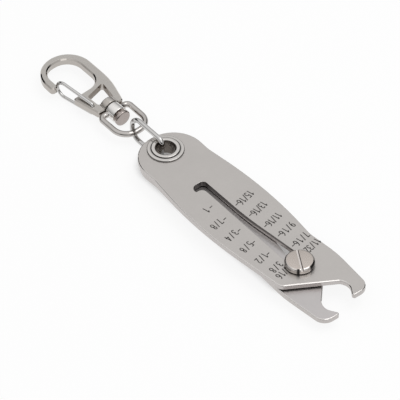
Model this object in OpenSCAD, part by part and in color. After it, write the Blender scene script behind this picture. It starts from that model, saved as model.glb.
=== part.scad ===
// Bolt and nut gauge: two hooked plates that turn on an eyelet, a sliding knob that points at the size,
// and a key clip on a link. Millimetres. The origin is on the eyelet's axis, on the surface that the
// gauge lies on. +X runs to the jaws, +Y to the front jaw's side and +Z up through the front plate.

/* [Plates] */
// Thickness of each plate
plate_t = 2.1; // [1.2:0.1:3]
// Gap between the two plates
plate_gap = 0.3; // [0.2:0.05:0.6]
// Bevel along the plates' edges
plate_bevel = 0.3; // [0.1:0.05:0.5]
// Radius of the rounded end round the eyelet
lobe_r = 12.2; // [10.5:0.25:14]
// How far the rounded end's centre lies from the eyelet, towards the jaws
lobe_x = 4.6; // [2:0.2:6]
// Half width of the plates at the waist by the rounded end
waist_half = 11.5; // [10.5:0.1:12]
// Half width of the plates where they are widest, on the jaw's side
body_half = 14.2; // [12:0.1:16]
// Half width of the front plate on the side without a jaw
front_plain_half = 14.8; // [12:0.1:16]
// Half width of the back plate on the side without a jaw
back_plain_half = 12.6; // [11:0.1:14]

/* [Jaws] */
// Smallest size the jaws take, 5/16 inch
smallest_size = 7.94; // [5:0.01:12]
// Largest size the jaws take, 1 inch
largest_size = 25.4; // [18:0.1:30]
// Distance from the eyelet to the notch where the jaw begins
jaw_start_x = 62.8; // [56:0.2:66]
// Distance from the eyelet to the jaw's outer end
jaw_end_x = 95.4; // [94:0.2:102]
// Half width of the plates at the jaw
jaw_half = 13.4; // [12:0.1:16]
// Depth of the throat, from the gauge's middle line
throat_half = 6.8; // [6:0.1:8]
// Radius of the jaw's tip
tip_r = 0.8; // [0.5:0.1:1.2]
// How much farther the back plate's jaw reaches than the front plate's
back_reach = 1.8; // [0:0.1:2]
// Slant of the front plate's end edge, in degrees
front_slant = 59; // [50:1:65]
// Slant of the back plate's end edge, in degrees
back_slant = 44; // [40:1:50]

/* [Slot and scale] */
// Width of the slots
slot_w = 2.7; // [2.7:0.05:3.2]
// How much wider the front slot is at the knob than at its narrow end
slot_flare = 3.7; // [1:0.1:4.2]
// Length of the slot's hooked end
slot_hook = 3.4; // [2:0.1:4]
// Distance from the eyelet to the knob when the jaws are closed
knob_x = 72.3; // [70:0.1:74]
// Step of the scale for each sixteenth of an inch
mark_step = 3.74; // [3:0.02:3.9]
// How far the knob drifts sideways along its whole travel
knob_drift = 0.8; // [0:0.1:1]

/* [Knob] */
// Diameter of the knob's head
knob_d = 10.5; // [9.5:0.1:12]
// Height of the knob's head
knob_h = 2; // [1:0.1:2.5]
// Diameter of the knob's shank
shank_d = 2.5; // [1.8:0.05:2.6]
// Width of the screwdriver slot
driver_w = 0.95; // [0.4:0.05:1]
// Depth of the screwdriver slot
driver_depth = 0.7; // [0.3:0.05:0.9]
// Direction of the screwdriver slot, in degrees from the gauge's length
driver_turn = -29; // [-90:1:90]
// Thickness of the washer under the knob's head
knob_washer_t = 0.3; // [0.2:0.05:0.6]
// Diameter of the washer under the knob's head
knob_washer_d = 9.2; // [8.5:0.1:10]
// Thickness of the washer under the back plate
friction_washer_t = 0.4; // [0.2:0.05:0.6]
// Diameter of the washer under the back plate
friction_washer_d = 9; // [7.5:0.1:10]
// Diameter of the round nut
nut_d = 9.6; // [8:0.1:11]

/* [Eyelet] */
// Radius of the hole through the eyelet
eyelet_r = 3.6; // [3.3:0.05:3.9]
// Wall of the eyelet's tube
eyelet_wall = 0.6; // [0.4:0.05:0.8]
// Radius of the eyelet's flanges
flange_r = 6.5; // [5.6:0.05:7]
// Height that the eyelet stands out of each side
flange_h = 0.9; // [0.8:0.05:1.3]
// Radius of the shim between the plates
shim_r = 6.6; // [5.5:0.1:8]

/* [Link] */
// Wire diameter of the link
link_wire = 1.8; // [1:0.1:1.8]
// Length of the link between its wire's centres
link_len = 16; // [15.5:0.1:20]
// Radius of the link's corners in the eyelet, at the wire's centre
link_corner = 2.2; // [1.6:0.1:2.4]
// Lean of the link to one side, in degrees
link_lean = 4; // [0:1:20]

/* [Swivel] */
// Wire diameter of the swivel eye
eye_wire = 2.2; // [1.5:0.1:2.4]
// Length of the swivel eye between its wire's centres
eye_len = 12.9; // [12:0.1:16]
// Width of the swivel eye between its wire's centres
eye_w = 12.2; // [10.4:0.1:14]
// Diameter of the swivel eye's boss
boss_d = 6.2; // [5:0.1:6.8]
// Length of the swivel eye's boss
boss_len = 5.1; // [3:0.1:5.5]
// Diameter of the swivel pin
pin_d = 3; // [2.2:0.1:3.6]
// Diameter of the swivel pin's head
pin_head_d = 6; // [5:0.1:6.8]
// Thickness of the swivel pin's head
pin_head_t = 1.2; // [0.8:0.1:1.6]

/* [Hook] */
// Thickness of the cast hook
hook_t = 2.9; // [2.2:0.1:3.5]
// Bevel along the hook's edges
hook_bevel = 0.45; // [0.2:0.05:0.6]
// Length of the hook from its base to the end of its bow
hook_len = 31.7; // [29:0.1:36]
// Outer radius of the bow
bow_r = 9.6; // [8.6:0.05:10]
// Width of the bow's band at its end
bow_band = 2.8; // [2:0.1:3.2]
// Diameter of the hook's barrel
barrel_d = 6.8; // [5.5:0.1:7.4]
// Distance from the hook's base to the cross bar
arm_len = 11.1; // [10:0.1:12]
// Width of the cross bar at the gate's side
bar_w = 2.5; // [1.6:0.1:3]
// Length of the hook's nose past the bow's round end
nose_len = 3.2; // [2.4:0.1:4]

/* [Gate] */
// Wire diameter of the gate
gate_wire = 1.2; // [0.9:0.05:1.3]
// Half height of the gate's loop at its free end, at the wire's centre
gate_half = 3.3; // [2.8:0.1:3.6]
// How far the gate opens, in degrees
gate_swing = 28; // [10:1:30]
// Distance from the hook's base to the gate's pivot
pivot_back = 3.9; // [3:0.1:4.6]
// Distance from the hook's middle line to the gate's pivot
pivot_side = 5.2; // [5:0.05:5.4]
// How far the gate lies behind the nose
gate_lap = 1.5; // [1:0.1:2]

/* [Hidden] */
$fn = 64;

// Clearances
run_fit = 0.05;
flat_slip = 0.05;
link_play = 0.3;
chain_play = 0.25;
hook_play = 0.2;
gate_play = 0.1;

// Levels, from the surface that the gauge lies on
flange_bottom = link_wire + link_play;
back_z = flange_bottom + flange_h;
back_top = back_z + plate_t;
front_z = back_top + plate_gap;
top_z = front_z + plate_t;
flange_top = top_z + flange_h;
ring_top = top_z + flange_h * 0.6;
barrel_r = eyelet_r + eyelet_wall;
lip_r = barrel_r + 0.75;

// Where the clip's pieces lie
chain_y = 0.5;
chain_z = gate_half + gate_wire / 2 + gate_play;
link_low = link_wire / 2;
link_high = flange_top + link_play + link_wire / 2;
link_half = (link_high - link_low) / 2 / cos(link_lean);
link_right_x = link_wire / 2 + 0.55 - eyelet_r;
link_left_x = link_right_x - link_len;
eye_right_x = link_left_x + link_wire / 2 + chain_play + eye_wire / 2;
eye_left_x = eye_right_x - eye_len;
boss_left_x = eye_left_x - eye_wire / 2;
boss_right_x = boss_left_x + boss_len;
hook_x = boss_left_x - hook_play;
pin_depth = 2.2;
barrel_len = 2.8;

// Points on the fillet of one corner of an outline. Each corner is [x, y, radius], and corners run
// anticlockwise. A positive grow moves the outline outward all round.
function xy(v) = [v.x, v.y];
function unit2(v) = v / norm(v);
function turned(v, deg) = [v.x * cos(deg) - v.y * sin(deg), v.x * sin(deg) + v.y * cos(deg)];
function turn_deg(p, q) = atan2(p.x * q.y - p.y * q.x, p * q);
function step_deg(radius) = radius > 50 ? 1.5 : radius < 1 ? 18 : 7.5;
function fillet(a, b, c, radius, grow) =
    let (
        p = unit2(b - a),
        q = unit2(c - b),
        deg = turn_deg(p, q),
        side = deg < 0 ? -1 : 1,
        centre = b - p * (radius * tan(abs(deg) / 2)) + side * radius * [-p.y, p.x],
        first = atan2(-side * p.x, side * p.y),
        steps = max(1, ceil(abs(deg) / step_deg(radius)))
    )
    [for (i = [0:steps])
        let (at = first + deg * i / steps)
        centre + (radius + side * grow) * [cos(at), sin(at)]];
function rounded(corners, grow = 0) =
    let (n = len(corners))
    [for (i = [0:n - 1])
        let (a = corners[(i + n - 1) % n], b = corners[i], c = corners[(i + 1) % n])
        for (point = fillet(xy(a), xy(b), xy(c), b.z, grow))
            point];
function rounded_line(corners) =
    let (n = len(corners))
    [xy(corners[0]),
    for (i = [1:n - 2])
        for (point = fillet(xy(corners[i - 1]), xy(corners[i]), xy(corners[i + 1]), corners[i].z, 0))
            point,
    xy(corners[n - 1])];

// Triangles that fill a closed outline: one corner after another is cut off, each time one that holds
// no other point of the outline
function cross2(a, b) = a.x * b.y - a.y * b.x;
function holds(p, a, b, c) =
    cross2(b - a, p - a) > -1e-6 && cross2(c - b, p - b) > -1e-6 && cross2(a - c, p - c) > -1e-6;
function corner_at(ids, i) = let (n = len(ids)) [ids[(i + n - 1) % n], ids[i % n], ids[(i + 1) % n]];
function can_cut(pts, ids, k) =
    let (a = pts[k[0]], b = pts[k[1]], c = pts[k[2]])
    cross2(b - a, c - b) > 1e-9
    && len([for (j = ids) if (j != k[0] && j != k[1] && j != k[2] && holds(pts[j], a, b, c)) j]) == 0;
function next_cut(pts, ids, i) =
    i >= 2 * len(ids) || can_cut(pts, ids, corner_at(ids, i)) ? i : next_cut(pts, ids, i + 1);
function filled(pts, ids, from) =
    len(ids) == 3 ? [ids] :
    let (i = next_cut(pts, ids, from) % len(ids))
    concat([corner_at(ids, i)], filled(pts, [for (j = [0:len(ids) - 1]) if (j != i) ids[j]], i + 1));

// A flat solid with a bevel round its two faces
module bevelled(corners, bottom, top, bevel) {
    inset = rounded(corners, -bevel);
    rings = [inset, rounded(corners), rounded(corners), inset];
    levels = [bottom, bottom + bevel, top - bevel, top];
    n = len(inset);
    points = [for (k = [0:3]) for (p = rings[k]) [p.x, p.y, levels[k]]];
    under = filled(inset, [for (i = [0:n - 1]) i], floor(n / 3));
    over = [for (f = under) [f[2] + 3 * n, f[1] + 3 * n, f[0] + 3 * n]];
    walls = [for (k = [0:2]) for (i = [0:n - 1])
        let (j = (i + 1) % n)
        [k * n + i, (k + 1) * n + i, (k + 1) * n + j, k * n + j]];
    polyhedron(points, concat(under, over, walls), convexity = 10);
}

// Round wire along a flat line of points, in the XY plane
module wire(line, diameter, closed) {
    sides = 16;
    n = len(line);
    function ahead(i) = closed || i < n - 1 ? unit2(line[(i + 1) % n] - line[i]) : unit2(line[i] - line[i - 1]);
    function behind(i) = closed || i > 0 ? unit2(line[i] - line[(i + n - 1) % n]) : ahead(i);
    points = [for (i = [0:n - 1])
        let (t = unit2(ahead(i) + behind(i)))
        for (j = [0:sides - 1])
            let (across = diameter / 2 * cos(360 * j / sides), up = diameter / 2 * sin(360 * j / sides))
            [line[i].x - t.y * across, line[i].y + t.x * across, up]];
    runs = closed ? n : n - 1;
    skin = [for (i = [0:runs - 1]) for (j = [0:sides - 1])
        let (a = i * sides, b = ((i + 1) % n) * sides, k = (j + 1) % sides)
        each [[a + j, b + j, b + k], [a + j, b + k, a + k]]];
    ends = closed ? [] : [[for (j = [0:sides - 1]) j], [for (j = [sides - 1:-1:0]) (n - 1) * sides + j]];
    polyhedron(points, concat(skin, ends), convexity = 10);
}

// A round solid about Z from its half section
module lathe(corners) {
    rotate_extrude(convexity = 6) polygon(rounded(corners));
}

module bore(radius, bottom, top) {
    translate([0, 0, bottom]) cylinder(r = radius, h = top - bottom);
}

// Plate outline with the jaw on the +Y side
side_r = 170;
side_rise = 1.1;
tip_slant = 31.5;
throat_r = 4.5;
throat_x = 5.3;
lobe_slope = max(0, atan2(lobe_r - waist_half - 0.2, 8.8 + lobe_r - lobe_x));
lobe_fillet = (lobe_r - 0.1) / tan(45 + lobe_slope / 2);
function plate_corners(plain_half, slant, reach, low_y) =
    let (
        end_x = jaw_end_x + reach,
        throat = [end_x - throat_x, throat_half + 0.7],
        lip = throat - 3.6 * [cos(28.5), sin(28.5)],
        low = lip - (lip.y - low_y) * [1 / tan(slant), 1]
    )
    [
        [lobe_x - lobe_r, -lobe_r, lobe_fillet],
        [9.3, -waist_half - (plain_half > body_half ? 0.9 : 0.2), 8],
        [36.5, -plain_half - side_rise, side_r],
        [low.x, low.y, 3],
        [lip.x, lip.y, 1.6],
        [throat.x, throat.y, throat_r],
        [end_x, throat.y - throat_x * tan(tip_slant), tip_r],
        [end_x, jaw_half - 1.4, 4.4],
        [end_x - 19.4, jaw_half + 0.2, 40],
        [jaw_start_x, jaw_half - 1, 12],
        [37.5, body_half + side_rise, side_r],
        [8.8, waist_half + 0.2, 8],
        [lobe_x - lobe_r, lobe_r, lobe_fillet]
    ];
front_corners = plate_corners(front_plain_half, front_slant, 0, -11.8);
back_corners = plate_corners(back_plain_half, back_slant, back_reach, -8.6);

// Centre of a jaw tip, with the jaw on the +Y side
function tip_centre(reach) =
    [jaw_end_x + reach - tip_r,
    throat_half + 0.7 - (throat_x - tip_r) * tan(tip_slant) + tip_r / cos(tip_slant)];
front_tip = tip_centre(0);
back_tip = tip_centre(back_reach);
front_tip_r = norm(front_tip);
back_tip_r = norm(back_tip);

// Angle between the two jaw tips, seen from the eyelet, when the gap between them is one size
function jaw_deg(size) =
    let (apart = size + 2 * tip_r)
    acos((front_tip_r * front_tip_r + back_tip_r * back_tip_r - apart * apart) / (2 * front_tip_r * back_tip_r));
swing_deg = jaw_deg(largest_size) - jaw_deg(smallest_size);
nest_deg = atan2(front_tip.y, front_tip.x) + atan2(back_tip.y, back_tip.x) - jaw_deg(smallest_size);

// The knob's travel, and the cam slot that ties it to the swing of the back plate
knob_travel = mark_step * 11;
knob_end = [knob_x - knob_travel, -knob_drift];
function knob_at(share) = [knob_x, 0] + share * (knob_end - [knob_x, 0]);
function cam_at(share) = turned(knob_at(share), swing_deg * share);
function cam_way(share) = unit2(cam_at(share + 0.01) - cam_at(share - 0.01));
cam_steps = 24;
function cam_side(sign) = [for (i = [0:cam_steps])
    let (share = -0.006 + 1.012 * i / cam_steps, way = cam_way(share))
    cam_at(share) + sign * slot_w / 2 * [-way.y, way.x]];
function cam_cap(share, sign) =
    let (way = cam_way(share))
    [for (i = [1:11])
        let (at = 90 - 15 * i)
        cam_at(share) + sign * slot_w / 2 * (cos(at) * way + sin(at) * [-way.y, way.x])];
cam_left = cam_side(1);
cam_right = cam_side(-1);
cam_outline = concat(
    cam_left, cam_cap(1.006, 1),
    [for (i = [cam_steps:-1:0]) cam_right[i]], cam_cap(-0.006, -1));

// Front slot, with its hooked end and its flare towards the knob
slot_low = -knob_drift - slot_w / 2;
slot_high = -knob_drift + slot_w / 2;
slot_far = knob_x + shank_d / 2 + 0.85;
front_slot = [
    [20, slot_low - slot_hook + 0.35, 2.4],
    [22.95, slot_low - slot_hook + 0.35, 0.35],
    [22.95, slot_low, 2],
    [slot_far, slot_low - slot_flare * 0.16, 1.6],
    [slot_far, slot_high + slot_flare * 0.84, 2],
    [43, slot_high, 120],
    [20, slot_high, 1.6]
];

module front_plate() color([0.73, 0.71, 0.69]) difference() {
    bevelled(front_corners, front_z, top_z, plate_bevel);
    translate([0, 0, front_z - 1]) linear_extrude(plate_t + 2) polygon(rounded(front_slot));
    bore(barrel_r, front_z - 1, top_z + 1);
}

module back_plate() color([0.7, 0.68, 0.66]) difference() {
    rotate([0, 0, nest_deg]) mirror([0, 1, 0]) bevelled(back_corners, back_z, back_top, plate_bevel);
    translate([0, 0, back_z - 1]) linear_extrude(plate_t + 2) polygon(cam_outline);
    bore(barrel_r + run_fit, back_z - 1, back_top + 1);
}

module eyelet_barrel() color([0.78, 0.77, 0.76]) lathe([
    [eyelet_r, flange_bottom, 0.35],
    [flange_r, flange_bottom, 0.3],
    [flange_r, back_z - flat_slip, 0.1],
    [barrel_r, back_z - flat_slip, 0.02],
    [barrel_r, ring_top, 0.02],
    [lip_r, ring_top, 0.08],
    [lip_r, flange_top, 0.2],
    [eyelet_r, flange_top, 0.35]
]);

module eyelet_ring() color([0.76, 0.75, 0.74]) lathe([
    [barrel_r + run_fit, top_z, 0.02],
    [flange_r, top_z, 0.1],
    [flange_r, ring_top, 0.3],
    [barrel_r + run_fit, ring_top, 0.02]
]);

module pivot_shim() color([0.6, 0.6, 0.6]) difference() {
    bore(shim_r, back_top + flat_slip, front_z);
    bore(barrel_r + run_fit, back_top, front_z + 1);
}

module knob_washer() color([0.75, 0.74, 0.73]) translate([knob_x, 0, 0]) difference() {
    bore(knob_washer_d / 2, top_z + flat_slip, top_z + flat_slip + knob_washer_t);
    bore(shank_d / 2 + run_fit, top_z, top_z + 1);
}

knob_low = top_z + flat_slip + knob_washer_t;
module knob_screw() color([0.8, 0.76, 0.74]) translate([knob_x, 0, 0]) difference() {
    lathe([
        [0, 0.1, 0.01],
        [shank_d / 2, 0.1, 0.2],
        [shank_d / 2, knob_low, 0.02],
        [knob_d / 2, knob_low, 0.15],
        [knob_d / 2, knob_low + knob_h, 0.3],
        [0, knob_low + knob_h, 0.01]
    ]);
    rotate([0, 0, driver_turn]) translate([-knob_d, -driver_w / 2, knob_low + knob_h - driver_depth])
        cube([2 * knob_d, driver_w, 2]);
}

washer_low = back_z - flat_slip - friction_washer_t;
module friction_washer() color([0.55, 0.55, 0.55]) translate([knob_x, 0, 0]) difference() {
    bore(friction_washer_d / 2, washer_low, back_z - flat_slip);
    bore(shank_d / 2 + run_fit, washer_low - 1, back_z);
}

module knob_nut() color([0.74, 0.73, 0.72]) translate([knob_x, 0, 0]) lathe([
    [shank_d / 2, 0, 0.15],
    [nut_d / 2, 0, 0.3],
    [nut_d / 2, washer_low, 0.2],
    [shank_d / 2, washer_low, 0.02]
]);

module link() color([0.74, 0.74, 0.74]) translate([0, 0, (link_low + link_high) / 2])
    rotate([90 - link_lean, 0, 0]) wire(rounded([
        [link_left_x, -link_half, link_half - 0.3],
        [link_right_x, -link_half, link_corner],
        [link_right_x, link_half, link_corner],
        [link_left_x, link_half, link_half - 0.3]
    ]), link_wire, true);

module along_chain() {
    translate([0, chain_y, chain_z]) rotate([0, 90, 0]) children();
}

module swivel_eye() color([0.76, 0.74, 0.73]) difference() {
    union() {
        translate([0, chain_y, chain_z]) wire(rounded([
            [eye_left_x, -eye_w / 2, 1.6],
            [eye_right_x, -eye_w / 2, 5.4],
            [eye_right_x, eye_w / 2, 5.4],
            [eye_left_x, eye_w / 2, 1.6]
        ]), eye_wire, true);
        along_chain() lathe([
            [0, boss_left_x, 0.01],
            [boss_d / 2, boss_left_x, 0.3],
            [boss_d / 2, boss_right_x, 0.3],
            [0, boss_right_x, 0.01]
        ]);
    }
    along_chain() bore(pin_d / 2 + run_fit, boss_left_x - 1, boss_right_x + 1);
}

pin_head_x = boss_right_x + flat_slip;
module swivel_pin() color([0.72, 0.7, 0.69]) along_chain() lathe([
    [0, hook_x - pin_depth, 0.01],
    [pin_d / 2, hook_x - pin_depth, 0.2],
    [pin_d / 2, pin_head_x, 0.02],
    [pin_head_d / 2, pin_head_x, 0.15],
    [pin_head_d / 2, pin_head_x + pin_head_t, 0.5],
    [0, pin_head_x + pin_head_t, 0.01]
]);

// Hook outline, from its base towards the bow
bow_x = hook_x - hook_len;
bow_high = chain_y + 8.2;
bow_low = bow_high - 2 * bow_r;
nose_in = bow_low + bow_band;
nose_x = bow_x + bow_r + nose_len;
arm_x = hook_x - arm_len;
arm_low = chain_y - 8.1;
base_low = chain_y - 5.7;
base_high = chain_y + 5;
opening_high = chain_y + 4.8;
hook_corners = [
    [hook_x, base_low, 0.8],
    [hook_x, base_high, 0.8],
    [hook_x - 10.5, bow_high, 30],
    [bow_x, bow_high, bow_r - 0.02],
    [bow_x, bow_low, bow_r - 0.02],
    [nose_x, bow_low, 1.1],
    [nose_x, nose_in, 1.1],
    [bow_x + bow_band, nose_in, 5.6],
    [bow_x + bow_band, opening_high, 6.2],
    [arm_x - 0.7, opening_high, 5.5],
    [arm_x, arm_low, 0.8]
];

// Window between the cross bar and the barrel
window_right = hook_x - barrel_len - 0.2;
window_half = barrel_d / 2;
window_low = chain_y - window_half;
window_high = chain_y + window_half;
window_corners = [
    [arm_x + bar_w, window_low - 0.3, 0.7],
    [window_right, window_low, 0.7],
    [window_right, window_high, 0.7],
    [arm_x + 0.2, window_high + 1.2, 0.7]
];

// The gate, from its pivot in the arm to behind the nose
pivot_hole = gate_wire / 2 + run_fit;
gate_pivot = [hook_x - pivot_back, chain_y - pivot_side];
gate_end = [nose_x - gate_lap, nose_in + gate_wire / 2 + run_fit];
gate_root = hook_t / 2 + gate_wire / 2 + gate_play;
gate_bend = 0.75 * gate_wire;
gate_tip = 0.25 * gate_wire;
gate_len = norm(gate_end - gate_pivot);
gate_deg = atan2(gate_end.y - gate_pivot.y, gate_end.x - gate_pivot.x);

module hook_body() color([0.72, 0.7, 0.69]) difference() {
    union() {
        translate([0, 0, chain_z]) bevelled(hook_corners, -hook_t / 2, hook_t / 2, hook_bevel);
        along_chain() lathe([
            [0, hook_x - barrel_len, 0.01],
            [barrel_d / 2, hook_x - barrel_len, 0.4],
            [barrel_d / 2, hook_x, 0.3],
            [0, hook_x, 0.01]
        ]);
    }
    translate([0, 0, chain_z - barrel_d]) linear_extrude(2 * barrel_d) polygon(rounded(window_corners));
    along_chain() bore(pin_d / 2, hook_x - pin_depth, hook_x + 1);
    translate([gate_pivot.x, gate_pivot.y, chain_z]) bore(pivot_hole, -hook_t, hook_t);
}

module gate_loop() color([0.76, 0.75, 0.74]) translate([gate_pivot.x, gate_pivot.y, chain_z])
    rotate([0, 0, gate_deg]) rotate([90, 0, 0]) wire(rounded_line([
        [0, gate_tip],
        [0, gate_root, gate_bend],
        [gate_len, gate_half, gate_half - gate_play],
        [gate_len, -gate_half, gate_half - gate_play],
        [0, -gate_root, gate_bend],
        [0, -gate_tip]
    ]), gate_wire, false);

front_plate();
back_plate();
eyelet_barrel();
eyelet_ring();
pivot_shim();
knob_screw();
knob_washer();
friction_washer();
knob_nut();
link();
swivel_eye();
swivel_pin();
hook_body();
gate_loop();
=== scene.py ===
"""Dresses the bolt and nut gauge: brushed plates, polished clip, engraved inch scale, studio and camera."""

import math

import bmesh
import bpy
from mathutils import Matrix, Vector


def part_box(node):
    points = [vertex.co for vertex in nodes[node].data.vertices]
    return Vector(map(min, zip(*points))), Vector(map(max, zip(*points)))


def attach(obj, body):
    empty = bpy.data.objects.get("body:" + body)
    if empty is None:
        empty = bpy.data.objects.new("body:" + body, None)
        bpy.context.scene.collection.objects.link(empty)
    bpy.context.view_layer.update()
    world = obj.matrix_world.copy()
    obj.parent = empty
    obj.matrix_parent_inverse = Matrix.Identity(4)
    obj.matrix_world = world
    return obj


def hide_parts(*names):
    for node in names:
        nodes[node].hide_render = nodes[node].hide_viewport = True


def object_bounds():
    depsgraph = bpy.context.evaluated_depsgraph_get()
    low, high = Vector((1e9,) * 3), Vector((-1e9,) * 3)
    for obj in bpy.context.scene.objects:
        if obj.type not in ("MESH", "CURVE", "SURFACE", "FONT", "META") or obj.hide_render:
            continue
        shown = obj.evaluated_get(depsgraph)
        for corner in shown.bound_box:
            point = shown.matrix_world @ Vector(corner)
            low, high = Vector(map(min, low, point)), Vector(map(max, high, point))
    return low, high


MM = 0.001
MICRON = 0.000001
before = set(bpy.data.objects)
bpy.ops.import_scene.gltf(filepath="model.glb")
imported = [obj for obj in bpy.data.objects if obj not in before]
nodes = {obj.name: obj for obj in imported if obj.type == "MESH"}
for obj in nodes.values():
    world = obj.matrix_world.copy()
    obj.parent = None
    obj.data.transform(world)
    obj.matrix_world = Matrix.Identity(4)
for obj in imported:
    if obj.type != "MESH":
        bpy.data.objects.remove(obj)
cad_low, cad_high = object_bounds()


def span(node):
    """Lowest corner, highest corner and centre of a CAD node."""
    low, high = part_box(node)
    return low, high, (low + high) / 2


# Places on the gauge, from the CAD nodes and from the sizes that they were made to
TOP = span("front_plate")[1].z
KNOB_LOW, KNOB_HIGH, KNOB = span("knob_screw")
PIN_LOW, PIN_HIGH, PIN = span("swivel_pin")
KNOB_R = (KNOB_HIGH.x - KNOB_LOW.x) / 2
BORE_R = 3.65 * MM
BOSS_R = 3.15 * MM
BOSS_REACH = 8 * MM
PIN_HEAD = 1.2 * MM
WINDOW = Vector((-36.2, 0.5, 0)) * MM
WINDOW_R = 5 * MM
SLOT_LOW = Vector((19, -6.5, 0)) * MM
SLOT_HIGH = Vector((76, 5, 0)) * MM
SLOT_WIDENS = 50 * MM

# The slot for a driver in the knob's head
DRIVER_TURN = math.radians(-29)
DRIVER_ACROSS = Vector((-math.sin(DRIVER_TURN), math.cos(DRIVER_TURN), 0))
DRIVER_HALF = 0.475 * MM
DRIVER_SHADED = 0.5 * MM
DRIVER_SLACK = 0.02 * MM
DRIVER_LIP = 0.1 * MM
DRIVER_DEPTH = 0.75 * MM


# Materials: how nodes are added, then what each metal is

ROUGH_LEAST = 0.03
CLOUD_SHARE = 0.35
NOISE_LOW = 0.3
NOISE_HIGH = 0.7
SLOT_DEEPER = 38.0
SEEN_FROM_ABOVE = (1, 1, 0)


def connect(tree, value, socket):
    """Gives an input socket its value, which is a constant or another node's output."""
    if isinstance(value, bpy.types.NodeSocket):
        tree.links.new(value, socket)
    else:
        socket.default_value = value


def add_node(tree, kind, **values):
    """A new node, with its inputs and its settings by name."""
    made = tree.nodes.new(kind)
    for key, value in values.items():
        if key in made.inputs:
            connect(tree, value, made.inputs[key])
        else:
            setattr(made, key, value)
    return made


def calc(tree, operation, *operands):
    """The result of an operation on numbers."""
    made = add_node(tree, "ShaderNodeMath", operation=operation)
    for operand, socket in zip(operands, made.inputs):
        connect(tree, operand, socket)
    return made.outputs[0]


def calc_vector(tree, operation, *operands, result="Vector"):
    """The result of an operation on vectors, which some operations give as a Value."""
    made = add_node(tree, "ShaderNodeVectorMath", operation=operation)
    for operand, socket in zip(operands, made.inputs):
        connect(tree, operand, socket)
    return made.outputs[result]


def mapped(tree, source, first, last, to_first=0.0, to_last=1.0, interpolation="LINEAR"):
    """A number carried from one range to another."""
    made = add_node(tree, "ShaderNodeMapRange", interpolation_type=interpolation, Value=source)
    ends = {"From Min": first, "From Max": last, "To Min": to_first, "To Max": to_last}
    for key, value in ends.items():
        connect(tree, value, made.inputs[key])
    return made.outputs["Result"]


def shaded(tree, source, stops):
    """A number as a colour, by a ramp of stops, each a place and a grey or a colour."""
    made = add_node(tree, "ShaderNodeValToRGB", Fac=source)
    elements = made.color_ramp.elements
    while len(elements) < len(stops):
        elements.new(0.5)
    for element, (place, value) in zip(elements, stops):
        element.position = place
        colour = (value, value, value) if isinstance(value, (int, float)) else value
        element.color = (*colour, 1)
    return made.outputs["Color"]


def noise(tree, source, **settings):
    """Cloudy numbers over a place."""
    return add_node(tree, "ShaderNodeTexNoise", Vector=source, **settings).outputs["Fac"]


def bumped(tree, height, depth, **settings):
    """A normal tilted by a height, whose full range is a depth in metres."""
    made = add_node(tree, "ShaderNodeBump", Strength=1.0, Distance=depth, Height=height, **settings)
    return made.outputs["Normal"]


def object_place(tree):
    """The place on the gauge."""
    return add_node(tree, "ShaderNodeTexCoord").outputs["Object"]


def flat_length(tree, place):
    """A vector's length, seen from above."""
    flat = calc_vector(tree, "MULTIPLY", place, SEEN_FROM_ABOVE)
    return calc_vector(tree, "LENGTH", flat, result="Value")


def split(tree, place):
    """A vector's parts along x, y and z."""
    return add_node(tree, "ShaderNodeSeparateXYZ", Vector=place).outputs


def new_material(name):
    """A new material with its node tree and its shader."""
    mat = bpy.data.materials.new(name)
    mat.use_nodes = True
    return mat, mat.node_tree, mat.node_tree.nodes["Principled BSDF"]


def set_shader(tree, shader, colour, rough, metallic=1.0, normal=None):
    """Gives a shader its colour, its roughness, how metallic it is and its normal."""
    connect(tree, colour, shader.inputs["Base Color"])
    connect(tree, rough, shader.inputs["Roughness"])
    shader.inputs["Metallic"].default_value = metallic
    if normal is not None:
        connect(tree, normal, shader.inputs["Normal"])


def metal(name, colour, rough, grain, grain_depth, spread=0.05, rough_spread=0.08,
          centre=None, waves=None):
    """Metal with fine marks: grain is how often they repeat along x, y and z, per metre.

    With a centre, the marks run round it, as on a turned face. Waves are how often per metre and how deep
    in metres a cast and polished face undulates."""
    mat, tree, shader = new_material(name)
    place = object_place(tree)
    if centre is None:
        source = add_node(tree, "ShaderNodeMapping", Vector=place, Scale=grain).outputs["Vector"]
    else:
        radius = flat_length(tree, calc_vector(tree, "SUBTRACT", place, centre))
        rings = calc(tree, "MULTIPLY", radius, grain[0])
        source = add_node(tree, "ShaderNodeCombineXYZ", X=rings).outputs["Vector"]
    marks = noise(tree, source, Scale=1.0, Detail=5.0, Roughness=0.62)
    cloud = noise(tree, place, Scale=130.0, Detail=3.0, Roughness=0.5)
    tone = add_node(tree, "ShaderNodeMixRGB", Fac=CLOUD_SHARE, Color1=marks, Color2=cloud)
    darker = [part * (1 - spread) for part in colour]
    brighter = [min(1, part * (1 + spread)) for part in colour]
    shade = shaded(tree, tone.outputs["Color"], [(0.25, darker), (0.75, brighter)])
    least = max(ROUGH_LEAST, rough - rough_spread)
    gloss = mapped(tree, marks, NOISE_LOW, NOISE_HIGH, least, rough + rough_spread)
    swell = {}
    if waves is not None:
        often, depth = waves
        slow = noise(tree, place, Scale=often, Detail=1.0)
        swell = {"Normal": bumped(tree, slow, depth)}
    set_shader(tree, shader, shade, gloss, normal=bumped(tree, marks, grain_depth, **swell))
    return mat


def paint_shade_and_reflection(mat, place, stops):
    """Multiplies a metal's colour by a ramp over the number that a place function gives: painted shade and
    painted reflection.
    """
    tree = mat.node_tree
    base = tree.nodes["Principled BSDF"].inputs["Base Color"]
    own = base.links[0].from_socket
    first, last = stops[0][0], stops[-1][0]
    share = mapped(tree, place(tree), first, last)
    shade = shaded(tree, share, [((at - first) / (last - first), value) for at, value in stops])
    both = add_node(tree, "ShaderNodeMixRGB", blend_type="MULTIPLY", Fac=1.0, Color1=own, Color2=shade)
    connect(tree, both.outputs["Color"], base)


def from_eyelet(tree):
    """Distance from the eyelet's axis."""
    return flat_length(tree, object_place(tree))


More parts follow.
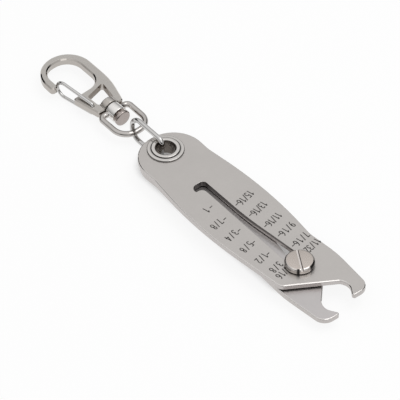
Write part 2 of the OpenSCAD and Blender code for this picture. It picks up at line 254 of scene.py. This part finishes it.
def along_plate(tree):
    """Distance along the gauge from the eyelet."""
    return split(tree, object_place(tree))["X"]


def down_slot(tree):
    """Distance along the gauge, plus a multiple of the depth below the front plate's face."""
    both = calc_vector(tree, "DOT_PRODUCT", object_place(tree), (1, 0, -SLOT_DEEPER), result="Value")
    return calc(tree, "ADD", both, TOP * SLOT_DEEPER)


def around_knob(tree):
    """Angle round the knob's axis, as a share of half a turn from -1 to 1."""
    away = split(tree, calc_vector(tree, "SUBTRACT", object_place(tree), KNOB))
    turn = calc(tree, "ARCTAN2", away["Y"], away["X"])
    return calc(tree, "DIVIDE", turn, math.pi)


def driver_slot():
    """Floor of the knob's slot: metal in a lighter colour, a painted light, with painted shade along its
    walls, most of it along the far one.
    """
    mat, tree, shader = new_material("driver_slot")
    place = object_place(tree)
    away = calc_vector(tree, "SUBTRACT", place, KNOB)
    across = calc_vector(tree, "DOT_PRODUCT", away, DRIVER_ACROSS, result="Value")
    share = mapped(tree, across, -DRIVER_SHADED, DRIVER_SHADED)
    shade = shaded(tree, share, [
        (0.0, (0.3, 0.27, 0.25)), (0.12, (0.76, 0.71, 0.68)), (0.66, (0.8, 0.75, 0.72)),
        (0.8, (0.24, 0.21, 0.2)), (1.0, (0.12, 0.105, 0.1))])
    marks = noise(tree, place, Scale=2600.0, Detail=3.0)
    set_shader(tree, shader, shade, 0.35, normal=bumped(tree, marks, 4 * MICRON))
    return mat


def ink():
    """Dark filling of the engraved scale, a little patchy."""
    mat, tree, shader = new_material("scale_filling")
    patch = noise(tree, object_place(tree), Scale=3500.0, Detail=3.0)
    shade = shaded(tree, patch, [(NOISE_LOW, (0.03, 0.026, 0.024)), (NOISE_HIGH, (0.08, 0.07, 0.064))])
    set_shader(tree, shader, shade, 0.6, metallic=0.0)
    return mat


# How often each kind of mark repeats along x, y and z, per metre
BRUSHING = (9000, 500, 9000)
CUTTING = (4000, 4000, 300)
CASTING = (1500, 1500, 1500)
DRAWING = (1800, 1800, 1800)
BORING = (2500, 2500, 900)
ROLLING = (2500, 2500, 2500)
BUFFING = (3000, 3000, 3000)
TURNING = (16000, 1, 1)

BRUSHED = metal("brushed_plate", (0.55, 0.525, 0.505), 0.36, BRUSHING, 4 * MICRON)
BACK_BRUSHED = metal("brushed_back_plate", (0.58, 0.55, 0.53), 0.36, BRUSHING, 4 * MICRON)
# Polished bevels in a lighter colour: partly real polish, partly a painted highlight along the edges
PLATE_BEVEL = metal("polished_bevel", (0.72, 0.69, 0.67), 0.1, BUFFING, 3 * MICRON, 0.05, 0.04)
PLATE_WALL = metal("cut_wall", (0.53, 0.5, 0.485), 0.27, CUTTING, 1.5 * MICRON, 0.06)
# Dark metal on the front plate's downward bevels, a painted shade along the gap between the plates
GAP_SHADE = metal("painted_gap_shade", (0.09, 0.08, 0.075), 0.3, BUFFING, 4 * MICRON)
# A lighter copy of the cut wall's metal, a painted light on the slot's walls
SLOT_WALL = metal("slot_wall", (0.74, 0.7, 0.68), 0.3, CUTTING, 6 * MICRON, 0.2)
# Dark metal on the walls inside the hook's window, a painted shade
WINDOW_WALL = metal("window_wall", (0.2, 0.17, 0.145), 0.16, CASTING, 4 * MICRON, 0.1, 0.05,
                    waves=(420, 300 * MICRON))
NICKEL = metal("satin_nickel", (0.505, 0.482, 0.454), 0.22, CASTING, 5 * MICRON, 0.06, 0.06,
               waves=(220, 40 * MICRON))
CAST_WALL = metal("polished_nickel", (0.47, 0.44, 0.41), 0.07, CASTING, 4 * MICRON, 0.06, 0.03,
                  waves=(330, 220 * MICRON))
EYE_METAL = metal("plated_eye", (0.5, 0.475, 0.455), 0.08, CASTING, 4 * MICRON, 0.06, 0.03,
                  waves=(300, 100 * MICRON))
PIN_METAL = metal("plated_pin", (0.4, 0.355, 0.335), 0.14, CASTING, 4 * MICRON, 0.08, 0.04,
                  waves=(300, 100 * MICRON))
# A lighter copy of the eye's metal on its boss, a painted highlight
BOSS = metal("bright_boss", (0.8, 0.78, 0.76), 0.1, CASTING, 3 * MICRON, 0.04, 0.04,
             waves=(240, 60 * MICRON))
WIRE = metal("drawn_wire", (0.6, 0.59, 0.58), 0.07, DRAWING, 4 * MICRON, 0.05, 0.03,
             waves=(260, 60 * MICRON))
# Dark metal inside the eyelet's hole, a painted shade
BORE = metal("eyelet_bore", (0.3, 0.27, 0.245), 0.2, BORING, 5 * MICRON, 0.15, 0.06,
             waves=(420, 150 * MICRON))
SHIM = metal("dull_shim", (0.36, 0.355, 0.35), 0.4, BUFFING, 4 * MICRON)
KNOB_FACE = metal("turned_knob", (0.56, 0.505, 0.465), 0.26, TURNING, 3 * MICRON, 0.04, 0.06,
                  centre=KNOB)
KNOB_RIM = metal("polished_rim", (0.7, 0.66, 0.63), 0.06, ROLLING, 3 * MICRON, 0.04, 0.03,
                 waves=(260, 40 * MICRON))
ROLLED = metal("rolled_eyelet", (0.66, 0.635, 0.61), 0.09, ROLLING, 4 * MICRON, 0.05, 0.04,
               waves=(300, 60 * MICRON))
UNDER_SLOT = metal("plate_under_slot", (0.58, 0.555, 0.55), 0.36, BRUSHING, 4 * MICRON)
DRIVER_SLOT = driver_slot()
INK = ink()

# Painted shade and reflection: each stop is what the place function gives and the share of the metal's
# colour that is left there
# Knob's rim: dark and pale patches round its axis, a painted reflection
paint_shade_and_reflection(KNOB_RIM, around_knob, [
    (-1.0, 0.5), (-0.62, 0.6), (-0.45, 0.75), (-0.36, 1.0), (-0.29, 0.9), (-0.265, 0.05), (-0.23, 0.05),
    (-0.2, 1.0), (0.01, 0.95), (0.05, 0.06), (0.25, 0.04), (0.3, 0.5), (1.0, 0.5)])
# Eyelet: darker at the inner lip, in the groove between lip and outer ring and at the outer edge, a painted
# shade
paint_shade_and_reflection(ROLLED, from_eyelet, [
    (0.0035, 0.7), (0.0039, 1.0), (0.00485, 1.0), (0.005, 0.08), (0.0052, 0.12), (0.0054, 0.85),
    (0.0062, 1.0), (0.0064, 0.45), (0.0066, 0.3)])
# Back plate's upper face, seen through the front slot: darker toward the eyelet, a painted shade
paint_shade_and_reflection(UNDER_SLOT, along_plate, [
    (0.018, 0.35), (0.024, 0.5), (0.03, 0.72), (0.045, 0.86), (0.06, 0.92), (0.075, 0.98)])
# Front slot's walls: darkened over their upper part, reaching deeper toward the eyelet, a painted shade
paint_shade_and_reflection(SLOT_WALL, down_slot, [(0.02, 0.42), (0.09, 0.36), (0.1, 1.0), (0.15, 1.0)])


# Plates, clip and fasteners: smoothed copies of the CAD solids, with softened edges

# How far a face's normal points up or down: more than FLAT is a face, less than BEVELLED is a wall.
# The window and the eyelet's hole count more as their walls, and the driver's slot has its own floor
# and walls.
FLAT = 0.97
BEVELLED = 0.3
STEEP = 0.7
BORE_STEEP = 0.5
FLOOR_FACE = 0.9
WALL_FACE = 0.95

# Widths of the softened edges
WASHER_EDGE = 0.04 * MM
KNOB_EDGE = 0.05 * MM
PLATE_EDGE = 0.08 * MM
HOOK_EDGE = 0.15 * MM
NO_EDGE = 0

# How the copies are rounded, shaded and cleaned
EDGE_STEPS = 2
EDGE_ANGLE = math.radians(28)
SMOOTH_ANGLE = math.radians(32)
MERGE_DISTANCE = 2 * MICRON
MERGE_ANGLE = math.radians(0.6)

# The round of the knob's rim, and the groove at the eye's boss
RIM_ROUND = 0.33 * MM
RIM_WIDER = 2.8
NECK_GAP = 0.9 * MM
NECK_BEFORE = 0.45 * MM
NECK_AFTER = 0.1 * MM


def front_finish(normal, centre):
    """Brushed faces, polished bevels, cut walls, the slot's own walls with painted light and shade, and
    painted shade along the gap below.
    """
    if abs(normal.z) > FLAT:
        return BRUSHED
    if normal.z > BEVELLED:
        return PLATE_BEVEL
    in_slot = SLOT_LOW.x < centre.x < SLOT_HIGH.x and SLOT_LOW.y < centre.y < SLOT_HIGH.y
    if normal.z < -BEVELLED:
        return SLOT_WALL if in_slot and centre.x > SLOT_WIDENS else GAP_SHADE
    return SLOT_WALL if in_slot else PLATE_WALL


def back_finish(normal, centre):
    """Brushed underside, polished bevels, cut walls, and an upper face with a painted shade that darkens
    toward the eyelet.
    """
    if normal.z > FLAT:
        return UNDER_SLOT
    if normal.z < -FLAT:
        return BACK_BRUSHED
    return PLATE_BEVEL if abs(normal.z) > BEVELLED else PLATE_WALL


def hook_finish(normal, centre):
    """Satin faces, polished walls, and darker walls in the window, a painted shade."""
    inward = (WINDOW - centre).xy
    if abs(normal.z) < STEEP and inward.length < WINDOW_R and normal.xy.dot(inward) > 0:
        return WINDOW_WALL
    return NICKEL if abs(normal.z) > FLAT else CAST_WALL


def eye_finish(normal, centre):
    """Plated wire, and a boss in a lighter copy of its metal, a painted highlight."""
    in_boss = (centre.yz - PIN.yz).length < BOSS_R and centre.x < PIN_LOW.x + BOSS_REACH
    return BOSS if in_boss else EYE_METAL


def barrel_finish(normal, centre):
    """Darker inside the hole, a painted shade."""
    return BORE if centre.xy.length < BORE_R and abs(normal.z) < BORE_STEEP else ROLLED


def knob_finish(normal, centre):
    """Turned face, polished rim, and the driver's slot."""
    down = KNOB_HIGH.z - centre.z
    across = abs((centre - KNOB).dot(DRIVER_ACROSS))
    in_slot = across < DRIVER_HALF + DRIVER_SLACK and DRIVER_LIP < down < DRIVER_DEPTH
    if in_slot and (normal.z > FLOOR_FACE or abs(normal.dot(DRIVER_ACROSS)) > WALL_FACE):
        return DRIVER_SLOT
    return KNOB_FACE if normal.z > FLAT else KNOB_RIM


def round_rim(work):
    """Makes the round along the knob's upper edge nearly three times as wide."""
    for vert in work.verts:
        out = (vert.co.xy - KNOB.xy).length
        down = KNOB_HIGH.z - vert.co.z
        if out > KNOB_R - RIM_ROUND and down < RIM_ROUND:
            wider = KNOB_R - (KNOB_R - out) * RIM_WIDER
            flat = KNOB.xy + (vert.co.xy - KNOB.xy) * (wider / out)
            vert.co = Vector((flat.x, flat.y, KNOB_HIGH.z - down * RIM_WIDER))


def neck_gap(work):
    """Opens a dark groove between the eye's boss and the pin's head."""
    end = PIN_HIGH.x - PIN_HEAD
    for vert in work.verts:
        near_axis = (vert.co.yz - PIN.yz).length < BOSS_R
        if near_axis and end - NECK_BEFORE < vert.co.x < end + NECK_AFTER:
            vert.co.x -= NECK_GAP


def add_object(name, data):
    """A new object in the scene."""
    made = bpy.data.objects.new(name, data)
    bpy.context.scene.collection.objects.link(made)
    return made


def smooth_copy(node, body, mats, edge, finish=None, change=None):
    """A smooth-shaded copy of a CAD node with rounded edges, which stands for that node.

    A finish picks a face's material from its normal and its centre, and a change moves points."""
    mesh = nodes[node].data.copy()
    work = bmesh.new()
    work.from_mesh(mesh)
    bmesh.ops.remove_doubles(work, verts=work.verts, dist=MERGE_DISTANCE)
    bmesh.ops.dissolve_limit(work, angle_limit=MERGE_ANGLE, verts=work.verts, edges=work.edges)
    if change is not None:
        change(work)
    work.normal_update()
    for face in work.faces:
        mat = finish(face.normal, face.calc_center_median()) if finish else mats[0]
        face.material_index = mats.index(mat)
    mesh.materials.clear()
    for mat in mats:
        mesh.materials.append(mat)
    work.to_mesh(mesh)
    work.free()
    piece = add_object(node + "_finish", mesh)
    if edge:
        bevel = piece.modifiers.new("edges", "BEVEL")
        bevel.width = edge
        bevel.segments = EDGE_STEPS
        bevel.limit_method = "ANGLE"
        bevel.angle_limit = EDGE_ANGLE
        bevel.use_clamp_overlap = True
        bevel.harden_normals = False
    bpy.context.view_layer.objects.active = piece
    piece.select_set(True)
    bpy.ops.object.shade_smooth_by_angle(angle=SMOOTH_ANGLE)
    piece.select_set(False)
    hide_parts(node)
    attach(piece, body)
    return piece


smooth_copy("front_plate", "front",
            [BRUSHED, PLATE_BEVEL, PLATE_WALL, GAP_SHADE, SLOT_WALL], PLATE_EDGE, front_finish)
smooth_copy("back_plate", "back",
            [BACK_BRUSHED, PLATE_BEVEL, PLATE_WALL, UNDER_SLOT], PLATE_EDGE, back_finish)
smooth_copy("eyelet_barrel", "front", [ROLLED, BORE], NO_EDGE, barrel_finish)
smooth_copy("eyelet_ring", "front", [ROLLED], NO_EDGE)
smooth_copy("hook_body", "hook", [NICKEL, CAST_WALL, WINDOW_WALL], HOOK_EDGE, hook_finish)
smooth_copy("swivel_pin", "hook", [PIN_METAL], NO_EDGE)
smooth_copy("swivel_eye", "eye", [EYE_METAL, BOSS], NO_EDGE, eye_finish, neck_gap)
smooth_copy("link", "link", [WIRE], NO_EDGE)
smooth_copy("gate_loop", "gate", [WIRE], NO_EDGE)
smooth_copy("knob_screw", "knob",
            [KNOB_FACE, KNOB_RIM, DRIVER_SLOT], KNOB_EDGE, knob_finish, round_rim)
smooth_copy("knob_nut", "knob", [KNOB_FACE], KNOB_EDGE)
smooth_copy("knob_washer", "knob", [ROLLED], WASHER_EDGE)
smooth_copy("friction_washer", "knob", [SHIM], WASHER_EDGE)
smooth_copy("pivot_shim", "front", [SHIM], WASHER_EDGE)


# Engraved inch scale, in millimetres: each size's tick stands close to the place of the knob's centre
# at that gap between the jaws

MARK_LIFT = 0.012
STROKE = 0.37
END_CAP = 0.6
TICK = 1.15
GLYPH_HIGH = 2.7
CELL_WIDE = 0.44
NARROW = 0.88
GLYPH_WIDE = CELL_WIDE * NARROW * GLYPH_HIGH
READING = Vector((0.25, -1.0)).normalized()
RISING = Vector((-READING.y, READING.x))


def arc(x, y, wide, high, first, last, steps=10):
    """Points on part of an ellipse, between two angles in degrees."""
    turns = [math.radians(first + (last - first) * i / steps) for i in range(steps + 1)]
    return [(x + wide * math.cos(turn), y + high * math.sin(turn)) for turn in turns]


# Strokes of each character, on a cell one high and CELL_WIDE wide
STROKES = {
    "1": [[(0.04, 0.8), (0.23, 1.0)], [(0.23, 1.0), (0.23, 0.0)]],
    "2": [arc(0.22, 0.76, 0.2, 0.24, 165, -40), [(0.37, 0.6), (0.02, 0.0)], [(0.02, 0.0), (0.43, 0.0)]],
    "3": [arc(0.2, 0.76, 0.19, 0.24, 150, -90), arc(0.2, 0.27, 0.22, 0.27, 90, -150)],
    "4": [[(0.33, 0.0), (0.33, 1.0)], [(0.33, 1.0), (0.0, 0.3)], [(0.0, 0.3), (0.45, 0.3)]],
    "5": [[(0.4, 1.0), (0.07, 1.0)], [(0.07, 1.0), (0.05, 0.54)], arc(0.2, 0.3, 0.22, 0.3, 130, -140)],
    "6": [arc(0.42, 0.32, 0.4, 0.68, 98, 180), arc(0.22, 0.28, 0.2, 0.28, 0, 360, 16)],
    "7": [[(0.02, 1.0), (0.43, 1.0)], [(0.43, 1.0), (0.17, 0.0)]],
    "8": [arc(0.22, 0.76, 0.17, 0.24, 0, 360, 14), arc(0.22, 0.27, 0.21, 0.27, 0, 360, 16)],
    "9": [arc(0.02, 0.68, 0.4, 0.68, -82, 0), arc(0.22, 0.72, 0.2, 0.28, 0, 360, 16)],
    "/": [[(0.0, -0.03), (0.44, 1.03)]],
}


def add_stroke(work, points):
    """A flat ribbon along points in millimetres, on the front plate's face."""
    half = STROKE / 2
    last = len(points) - 1
    rails = []
    for i, point in enumerate(points):
        along = (points[min(i + 1, last)] - points[max(i - 1, 0)]).normalized()
        side = Vector((-along.y, along.x)) * half
        cap = along * half * (END_CAP if i == last else -END_CAP if i == 0 else 0)
        rails.append([point + cap + side, point + cap - side])
    height = TOP + MARK_LIFT * MM
    rows = [[work.verts.new((c.x * MM, c.y * MM, height)) for c in rail] for rail in rails]
    for near, far in zip(rows, rows[1:]):
        work.faces.new([near[0], near[1], far[1], far[0]])


def add_label(work, text, x, first_y, last_y):
    """Characters centred on x that run from one y to another, in millimetres."""
    length = (first_y - last_y) / -READING.y
    advance = (length - GLYPH_WIDE) / max(1, len(text) - 1)
    middle = Vector((x, (first_y + last_y) / 2))
    for i, letter in enumerate(text):
        start = middle + READING * (i * advance - length / 2)
        for stroke in STROKES[letter]:
            points = []
            for u, v in stroke:
                along = READING * (u * NARROW * GLYPH_HIGH)
                points.append(start + along + RISING * ((v - 0.5) * GLYPH_HIGH))
            add_stroke(work, points)


def add_tick(work, x, y):
    """A short stroke from x, y along the reading direction, in millimetres."""
    start = Vector((x, y))
    add_stroke(work, [start, start + READING * TICK])


# Text, tick's x and y, label's x, and the label's first and last y
TICKED = (
    ("1", 31.5, -5.2, 31.95, -7.6, -8.8),
    ("7/8", 39.0, -5.25, 39.45, -7.3, -11.7),
    ("3/4", 46.4, -5.0, 46.9, -6.8, -11.4),
    ("5/8", 54.0, -4.8, 54.45, -6.3, -11.0),
    ("1/2", 61.4, -4.5, 61.85, -6.0, -10.3),
    ("15/16", 36.1, 2.45, 35.5, 9.5, 2.9),
    ("13/16", 43.0, 2.8, 42.5, 9.7, 3.3),
    ("11/16", 50.4, 3.45, 49.8, 10.1, 3.9),
    ("9/16", 56.8, 4.15, 56.3, 10.8, 4.5),
    ("7/16", 63.7, 4.75, 63.1, 11.4, 5.2),
)
# The sizes beside the knob have no tick: text, label's x, and the label's first and last y
UNTICKED = (
    ("3/8", 68.3, -4.7, -9.4),
    ("5/16", 71.9, -4.1, -9.6),
    ("11/32", 67.9, 12.5, 6.0),
)


def add_scale():
    """The scale's marks, as one flat piece on the front plate."""
    work = bmesh.new()
    for text, tick_x, tick_y, x, first_y, last_y in TICKED:
        add_tick(work, tick_x, tick_y)
        add_label(work, text, x, first_y, last_y)
    for text, x, first_y, last_y in UNTICKED:
        add_label(work, text, x, first_y, last_y)
    bmesh.ops.recalc_face_normals(work, faces=work.faces)
    for face in work.faces:
        if face.normal.z < 0:
            face.normal_flip()
    mesh = bpy.data.meshes.new("scale_marks")
    work.to_mesh(mesh)
    work.free()
    mesh.materials.append(INK)
    marks = add_object("scale_marks", mesh)
    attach(marks, "front")


add_scale()


# Studio

PHOTO_SIDE = 400
PIXELS_PER_MM = 2.93
LOOK_ELEVATION = math.radians(44.4)
LOOK_WAY = Vector((-0.776, 0.631, 0))
LOOK_AT = Vector((26.7 * MM, -6.55 * MM, TOP))
CAMERA_FAR = 5.0
SENSOR = 36
CLIP_NEAR = 0.05
CLIP_FAR = 20
LAMP_FAR = 0.9

FLOOR_HALF = 4.0
FLOOR_BELOW = 0.02 * MM
WHITE_SHARE = 0.87
PLATES_END = 68 * MM
SHADOW_INNER = 7 * MM
SHADOW_OUTER = 12 * MM
SHADE_FROM = 20 * MM
SHADE_TO = 60 * MM
WHITE_AT_EYELET = 0.1
WHITE_AT_JAWS = 0.3

PANELS = 3
PANEL_PHASE = 0.8
PANEL_EDGE = (-0.3, 0.15)
BETWEEN_PANELS = 0.02
PANELS_TOP = (0.3, 0.55)


def place_camera():
    """A long lens from the photograph's direction, at the photograph's scale."""
    data = bpy.data.cameras.new("camera")
    camera = add_object("camera", data)
    toward = LOOK_WAY * math.cos(LOOK_ELEVATION) - Vector((0, 0, math.sin(LOOK_ELEVATION)))
    camera.location = LOOK_AT - toward * CAMERA_FAR
    camera.rotation_euler = toward.to_track_quat("-Z", "Y").to_euler()
    data.sensor_width = SENSOR
    data.lens = SENSOR * CAMERA_FAR / (PHOTO_SIDE / PIXELS_PER_MM * MM)
    data.clip_start = CLIP_NEAR
    data.clip_end = CLIP_FAR
    bpy.context.scene.camera = camera


def add_light(name, way, size, power):
    """A square lamp that looks at the gauge from a direction."""
    data = bpy.data.lights.new(name, "AREA")
    data.energy = power
    data.size = size
    lamp = add_object(name, data)
    way = Vector(way).normalized()
    lamp.location = LOOK_AT + way * LAMP_FAR
    lamp.rotation_euler = (-way).to_track_quat("-Z", "Y").to_euler()


def white_share(tree, place):
    """How much of the floor is plain white: less under and beside the plates, where their shadow shows,
    though more under the jaws than at the eyelet, a painted light.
    """
    rays = add_node(tree, "ShaderNodeLightPath")
    seen = 0.0
    for ray in ("Is Camera Ray", "Is Glossy Ray", "Is Transmission Ray"):
        seen = calc(tree, "MULTIPLY_ADD", rays.outputs[ray], WHITE_SHARE, seen)
    inside = calc_vector(tree, "MINIMUM", place, (PLATES_END, 0, 0))
    nearest = calc_vector(tree, "MAXIMUM", inside, (0, 0, 0))
    flat = calc_vector(tree, "MULTIPLY", place, SEEN_FROM_ABOVE)
    apart = calc_vector(tree, "DISTANCE", flat, nearest, result="Value")
    beneath = mapped(tree, along_plate(tree), SHADE_FROM, SHADE_TO, WHITE_AT_EYELET, WHITE_AT_JAWS)
    clear = mapped(tree, apart, SHADOW_INNER, SHADOW_OUTER, beneath, 1.0, "SMOOTHSTEP")
    return calc(tree, "MULTIPLY", seen, clear)


def add_floor():
    """White paper that stays white to the camera and keeps a soft shadow."""
    mesh = bpy.data.meshes.new("floor")
    corners = [(x * FLOOR_HALF, y * FLOOR_HALF, 0) for x, y in ((-1, -1), (1, -1), (1, 1), (-1, 1))]
    mesh.from_pydata(corners, [], [(0, 1, 2, 3)])
    mat, tree, shader = new_material("paper")
    place = object_place(tree)
    fine = noise(tree, place, Scale=900.0, Detail=2.0)
    shade = shaded(tree, fine, [(NOISE_LOW, 0.93), (NOISE_HIGH, 0.95)])
    set_shader(tree, shader, shade, 0.9, metallic=0.0)
    white = add_node(tree, "ShaderNodeEmission", Strength=1.0)
    mixed = add_node(tree, "ShaderNodeMixShader", Fac=white_share(tree, place))
    tree.links.new(shader.outputs[0], mixed.inputs[1])
    tree.links.new(white.outputs[0], mixed.inputs[2])
    tree.links.new(mixed.outputs[0], tree.nodes["Material Output"].inputs["Surface"])
    mesh.materials.append(mat)
    floor = add_object("floor", mesh)
    floor.location.z = cad_low.z - FLOOR_BELOW


def set_world():
    """Soft studio: bright above, and dark gaps between pale panels low down, for the metal to mirror."""
    world = bpy.data.worlds.new("studio")
    bpy.context.scene.world = world
    world.use_nodes = True
    tree = world.node_tree
    tree.nodes.clear()
    way = split(tree, add_node(tree, "ShaderNodeTexCoord").outputs["Generated"])
    shade = shaded(tree, way["Z"], [(0.0, 0.3), (0.15, 0.34), (0.4, 0.58), (0.62, 0.82), (0.85, 1.0)])
    turn = calc(tree, "ARCTAN2", way["Y"], way["X"])
    wave = calc(tree, "SINE", calc(tree, "MULTIPLY_ADD", turn, PANELS, PANEL_PHASE))
    panel = mapped(tree, wave, *PANEL_EDGE, BETWEEN_PANELS, 1.0, "SMOOTHSTEP")
    above = mapped(tree, way["Z"], *PANELS_TOP, interpolation="SMOOTHSTEP")
    lit = add_node(tree, "ShaderNodeMix", data_type="FLOAT", Factor=above, A=panel, B=1.0)
    back = add_node(tree, "ShaderNodeBackground", Color=shade, Strength=lit.outputs["Result"])
    out = add_node(tree, "ShaderNodeOutputWorld")
    tree.links.new(back.outputs[0], out.inputs["Surface"])


place_camera()
add_light("key", way=(0.3, 0.5, 1.5), size=0.5, power=1.5)
add_light("fill", way=(0.9, -0.3, 0.9), size=0.4, power=0.3)
add_floor()
set_world()
bpy.context.scene.view_settings.view_transform = "Standard"
